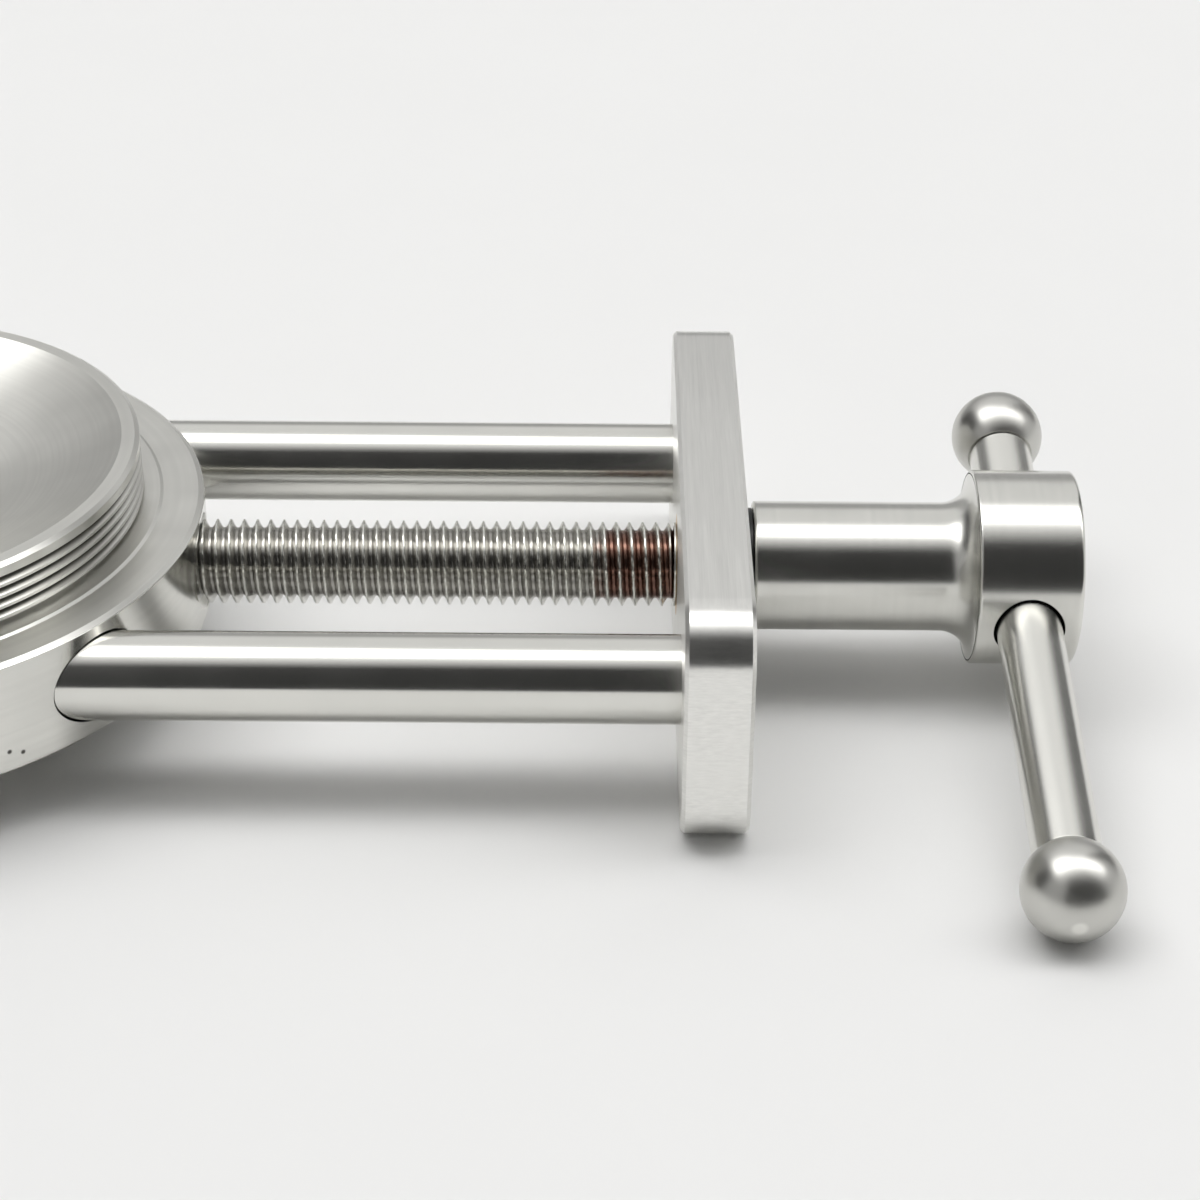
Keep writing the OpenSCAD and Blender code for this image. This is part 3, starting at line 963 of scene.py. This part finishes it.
bar_steel = turned_steel("bar_steel_polished", bar_line, 0.23, 0.7, depth=0.0002 * MM, mark=3 * MM)[0]
dress(bar_steel, tommy_bar)
ball_steel, tree, shader, (along, away, place) = turned_steel(
    "ball_steel_satin", bar_line, 0.31, 0.2, depth=0.0002 * MM, colour=DULL_STEEL, smudge=0.1,
)
# Painted sheen: the faced flat on each ball's end gets a paler colour.
tint(tree, shader, ease(tree, away, flat_outside, flat_inside), STEEL)
dress(ball_steel, *balls)

# %% [markdown]
# ## Finish of the thread
# A thread is dark in its roots, where little light gets in, so the roots get painted shade, a darker
# colour, and the crests stay bright. Its last turns by the plate hold copper grease. Both follow from
# the distance to the axis, and a noise makes the edge of the grease ragged.

# %% Dress the thread, with copper grease by the plate
ROOT_SHADE = (0.4, 0.39, 0.365)
COPPER = (0.2, 0.115, 0.09)
root_top, root_bottom = screw_r - 0.08 * MM, thread_root + 0.1 * MM
grease_start = 71.4 * MM
grease_fade = 1.0 * MM
ragged_size = 2 * MM
ragged_reach = 1.2 * MM

thread_steel, tree, shader, (along, away, place) = turned_steel(
    "thread_steel_rolled", screw_line, roughness=0.24, anisotropy=0.3, depth=0.0004 * MM,
)
# Painted shade: the thread's roots get a darker colour.
low = ease(tree, away, root_top, root_bottom)
tint(tree, shader, low, ROOT_SHADE)
wander = product(tree, noise(tree, ragged_size, Vector=place), ragged_reach)
ragged = number_math(tree, "ADD", along, wander)
greased = product(tree, low, low, ease(tree, ragged, grease_start, grease_start + grease_fade))
tint(tree, shader, greased, COPPER)
dress(thread_steel, lead_screw)

# %% [markdown]
# ## Finish of the plates
# The plates are milled: long marks run along their edges, and on the two short ends the cutter left small
# ticks across. A noise that is stretched along one direction gives either, and the distance from the
# middle of the plate says which of them shows.

# %% Dress the milled plates
PALE_STEEL = (0.87, 0.865, 0.835)
LONG_MARKS = (0.3 * MM, 12 * MM, 0.4 * MM)
TICKS = (1.2 * MM, 5 * MM, 0.25 * MM)
# The cutter runs along Y. A little Z leaves a direction on the end faces, where Y points straight out.
CUTTER_PATH = (0, 1, 0.3)
ticks_start, ticks_full = plate_high[Y] - 5 * MM, plate_high[Y] - 3 * MM


def drawn_noise(tree, place, sizes):
    """Noise whose features measure sizes along X, Y and Z."""
    scaled = vector_math(tree, "DIVIDE", place, sizes)["Vector"]
    return noise(tree, 1.0, detail=3.0, roughness=0.65, Vector=scaled)


def milled_steel(name, colour, roughness, anisotropy, depth):
    """Steel with long marks along Y, and short ticks along X on the faces at the ends of the plate."""
    material, tree, shader, place = steel_base(name, colour, roughness, anisotropy)
    lie_along(tree, shader, CUTTER_PATH)
    long_marks = drawn_noise(tree, place, LONG_MARKS)
    ticks = drawn_noise(tree, place, TICKS)
    from_middle = number_math(tree, "ABSOLUTE", add(tree, "SeparateXYZ", {0: place})[Y])
    at_end = ease(tree, from_middle, ticks_start, ticks_full)
    marks = mix_number(tree, at_end, long_marks, ticks)
    worked_steel(tree, shader, place, marks, depth, colour, roughness, smudge=0.05, streak=0.15)
    return material


dress(milled_steel("plate_steel_milled", PALE_STEEL, 0.3, 0.8, depth=0.0004 * MM), end_plate, tail_plate)

# %% [markdown]
# ## Finish of the small parts
# The washer is coloured black as painted shade, for the shadow in the narrow gap it sits in, and the set
# screw is blackened. The bushes are bronze, and the screws and pins are plain steel. The frame's own
# solids are good enough for those that hardly show, so they keep their shapes and only get their finish.

# %% Dress the small parts
BLACK = (0.05, 0.05, 0.05)
BRONZE = (0.62, 0.42, 0.2)
small_depth = 0.0008 * MM
nodes = frame["nodes"]
fasteners = [
    "end_screw_front", "end_screw_rear", "tail_screw_front", "tail_screw_rear",
    "jaw_pin_front", "jaw_pin_rear",
]
# Painted shade: the washer's black stands in for the shadow in its gap; the set screw is black oxide.
black_oxide_and_shade = turned_steel("washer_black_shade_and_oxide", screw_line, 0.45, 0.3, small_depth, colour=BLACK)[0]
dress(black_oxide_and_shade, washer, nodes["hub_set_screw"])
bronze = turned_steel("bush_bronze_bored", screw_line, 0.3, 0.4, small_depth, colour=BRONZE)[0]
dress(bronze, nodes["screw_bush"], nodes["tip_bush"])
fastener_steel = turned_steel("fastener_steel_plain", screw_line, 0.3, 0.3, small_depth)[0]
dress(fastener_steel, *[nodes[node] for node in fasteners])

# %% [markdown]
# ## Table
# The vise lies on a pale matt table that runs on behind it without an edge. Its own colour makes the pale
# background, so no light has to be spent on that, and a faint mottle keeps it from looking empty.

# %% Lay the table
TABLE_WHITE = (0.86, 0.86, 0.855)
table_half = 6.5
mottle_size = 40 * MM
mottle_share = 0.99


def plain_surface(name, colour, roughness):
    """A matt material with a faint mottle."""
    material = bpy.data.materials.new(name)
    material.use_nodes = True
    tree = material.node_tree
    shader = tree.nodes["Principled BSDF"]
    shader.inputs["Roughness"].default_value = roughness
    shader.inputs["Specular IOR Level"].default_value = 0.2
    place = add(tree, "TexCoord", {})["Object"]
    mottle = full_range(tree, noise(tree, mottle_size, Vector=place))
    first = tuple(mottle_share * c for c in colour)
    tree.links.new(mix_colour(tree, mottle, (*first, 1), (*colour, 1)), shader.inputs["Base Color"])
    return material


steps = np.linspace(-table_half, table_half, 9)
u, v = np.meshgrid(steps, steps)
table = skin("table", np.stack([u, v, np.full(u.shape, table_z)], -1), round_columns=False)
if table.data.polygons[0].normal.z < 0:
    table.data.flip_normals()
dress(plain_surface("table_white", TABLE_WHITE, 0.8), table)
print("table at", round(table_z, 4), "faces up:", table.data.polygons[0].normal.z > 0)

# %% [markdown]
# ## Light tent
# Polished steel is a picture of the room, so the room is half the material. Steel is photographed in a
# light tent, and lamps alone would leave it black between their reflections. The tent here is one dome
# that only light and reflections see. It glows in soft-edged patches: a long soft box overhead with a
# weak skirt in front of it, pale paper at the back in a low and a high part, a grey wall on the right and
# a small card at the front left. The side that the camera looks from is dark, and puts the dark band into
# every cylinder.

# %% Name the patches' edges
tent_r = 6.0
box_glow = 2.8
skirt_glow = 0.85
paper_glow = 0.77
wall_glow = 0.6
card_glow = 0.39
front_glow = 0.035
TENT_WHITE = (1, 0.998, 0.993, 1)

# On the ceiling, from none to full, in x or y divided by the height above the table.
BOX_LEFT, BOX_RIGHT = (-1.0, -0.78), (1.85, 1.4)
BOX_FRONT, BOX_BACK = (-0.18, 0.0), (0.43, 0.12)
SKIRT_FRONT = (-0.74, -0.1)
FRONT_SLANT = 0.13
BACK_SPREAD = 0.32

# Round the sides: a heading in degrees, 0 right and 90 back, then the cosine off it from none to full.
LOW_PAPER, HIGH_PAPER = (90, 0.68, 0.8), (98, 0.6, 0.74)
WALL, CARD = (6, 0.8, 1.0), (217, 0.86, 0.93)

# Up the sides, from none to full, as the sine of the elevation.
LOW_PAPER_RISE, LOW_PAPER_FOOT = (0.3, 0.55), 0.48
HIGH_PAPER_RISE, PAPER_TOP = (0.45, 0.62), (0.97, 0.9)
CARD_TOP = (1.0, 0.58)
print("soft box at", box_glow, "and dark side at", front_glow)


# %% Make the patches
def overhead_glow(tree, across, back):
    """The soft box and its skirt: rectangles on a ceiling, in x and y divided by the height.

    Their front edges slant back towards the right, and their back edge spreads back towards the left.
    """
    slanted = number_math(tree, "SUBTRACT", back, product(tree, across, FRONT_SLANT))
    left_part = number_math(tree, "MINIMUM", across, 0.0)
    spread = number_math(tree, "ADD", back, product(tree, left_part, BACK_SPREAD))
    ends = product(tree, ease(tree, across, *BOX_LEFT), ease(tree, across, *BOX_RIGHT))
    back_edge = ease(tree, spread, *BOX_BACK)
    soft_box = product(tree, ends, ease(tree, slanted, *BOX_FRONT), back_edge, box_glow)
    skirt = product(tree, ends, ease(tree, slanted, *SKIRT_FRONT), back_edge, skirt_glow)
    return number_math(tree, "ADD", soft_box, skirt)


def standing_glows(tree, level, rise):
    """The paper, the wall and the card, from the level direction and the sine of the elevation."""

    def about(degrees, start, end):
        """A soft-sided patch about a heading: the cosine of the angle off it, eased."""
        heading = math.radians(degrees)
        ahead = (math.cos(heading), math.sin(heading), 0)
        return ease(tree, vector_math(tree, "DOT_PRODUCT", level, ahead)["Value"], start, end)

    low_rise = stretch(tree, ease(tree, rise, *LOW_PAPER_RISE), LOW_PAPER_FOOT, 1.0)
    low_paper = product(tree, about(*LOW_PAPER), low_rise)
    high_paper = product(tree, about(*HIGH_PAPER), ease(tree, rise, *HIGH_PAPER_RISE))
    either = number_math(tree, "MAXIMUM", low_paper, high_paper)
    paper = product(tree, either, ease(tree, rise, *PAPER_TOP), paper_glow)
    wall = product(tree, about(*WALL), wall_glow)
    card = product(tree, about(*CARD), ease(tree, rise, *CARD_TOP), card_glow)
    return paper, wall, card


# %% Hang the light tent
lowest = 10 * MM


def tent_light(name):
    """Light that comes out of a dome in soft-edged patches, added to a weak glow all over."""
    material = bpy.data.materials.new(name)
    material.use_nodes = True
    tree = material.node_tree
    tree.nodes.clear()
    place = add(tree, "TexCoord", {})["Object"]
    flat = vector_math(tree, "MULTIPLY", place, (1, 1, 0))["Vector"]
    level = vector_math(tree, "NORMALIZE", flat)["Vector"]
    x, y, z = add(tree, "SeparateXYZ", {0: place})
    height = number_math(tree, "MAXIMUM", number_math(tree, "SUBTRACT", z, table_z), lowest)
    rise = number_math(tree, "DIVIDE", height, tent_r)
    across = number_math(tree, "DIVIDE", x, height)
    back = number_math(tree, "DIVIDE", y, height)
    glow = overhead_glow(tree, across, back)
    for patch in standing_glows(tree, level, rise):
        glow = number_math(tree, "ADD", glow, patch)
    glow = number_math(tree, "ADD", glow, front_glow)
    light = add(tree, "Emission", {"Color": TENT_WHITE, "Strength": glow})[0]
    add(tree, "OutputMaterial", {"Surface": light})
    material.cycles.emission_sampling = "NONE"
    return material


headings = np.linspace(0, 2 * np.pi, 48, endpoint=False)
azimuth, climb = np.meshgrid(headings, np.linspace(0, np.pi / 2, 25))
dome = tent_r * np.stack([
    np.cos(azimuth) * np.cos(climb),
    np.sin(azimuth) * np.cos(climb),
    np.sin(climb),
], -1)
dome[..., Z] += table_z
tent = skin("light_tent", dome)
tent.visible_camera = False
dress(tent_light("tent_glow"), tent)

# %% [markdown]
# ## The room beyond
# The camera sees through the tent, so the world behind it has the table's colour, at a strength of 1. The
# dome keeps its light off the vise.

# %% Colour the room
world = bpy.data.worlds.new("room")
bpy.context.scene.world = world
world.use_nodes = True
room = world.node_tree.nodes["Background"]
room.inputs["Color"].default_value = (*TABLE_WHITE, 1)
room.inputs["Strength"].default_value = 1.0
print("room colour", TABLE_WHITE)
